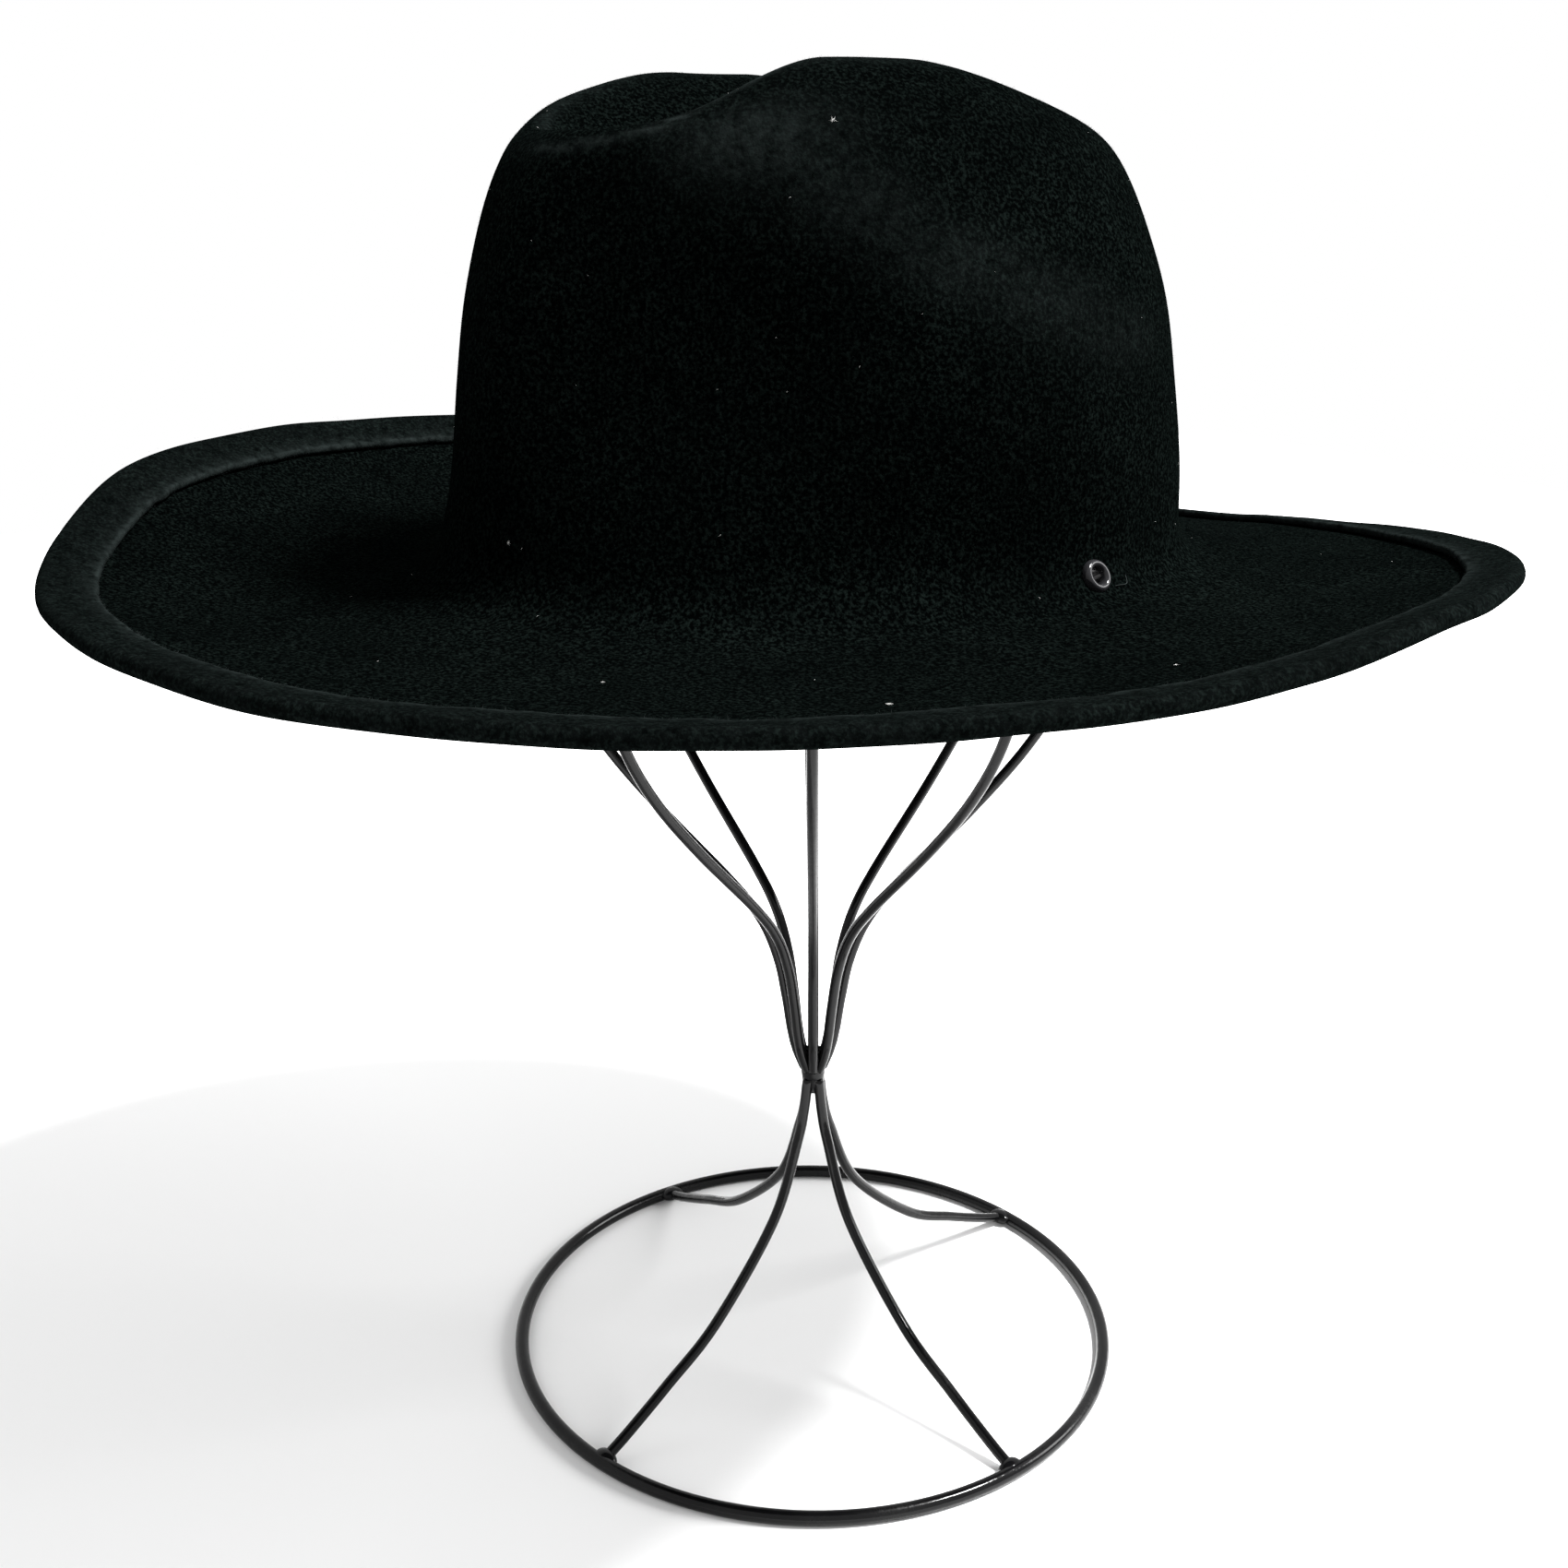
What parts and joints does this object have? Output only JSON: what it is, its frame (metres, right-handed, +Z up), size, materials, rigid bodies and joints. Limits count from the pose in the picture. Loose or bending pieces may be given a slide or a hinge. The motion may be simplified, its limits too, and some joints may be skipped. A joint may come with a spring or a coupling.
{
  "type": "western fedora on wire hat stand",
  "caption": "Black felt western fedora with pinched crown and folded brim edge, resting on a gloss black wire hat stand.",
  "frame": {"origin": "under the middle of the brim's oval, on the surface that the stand's base ring rests on", "axes": "+Z up, -Y towards the hat's front, +X towards the wearer's left"},
  "size_m": [0.3438, 0.3779, 0.3609],
  "materials": {
    "felt": "matt black fur felt",
    "wire": "gloss black lacquer",
    "eyelet": "gloss black enamel"
  },
  "bodies": {
    "root": {"felt_hat": "felt", "eyelet_left": "eyelet", "eyelet_right": "eyelet", "base_ring": "wire", "leg_1": "wire", "leg_2": "wire", "leg_3": "wire", "leg_4": "wire", "waist_weld": "wire", "rib_1": "wire", "rib_2": "wire", "rib_3": "wire", "rib_4": "wire", "rib_5": "wire", "rib_6": "wire", "rib_7": "wire", "rib_8": "wire", "top_weld": "wire"}
  },
  "joints": []
}
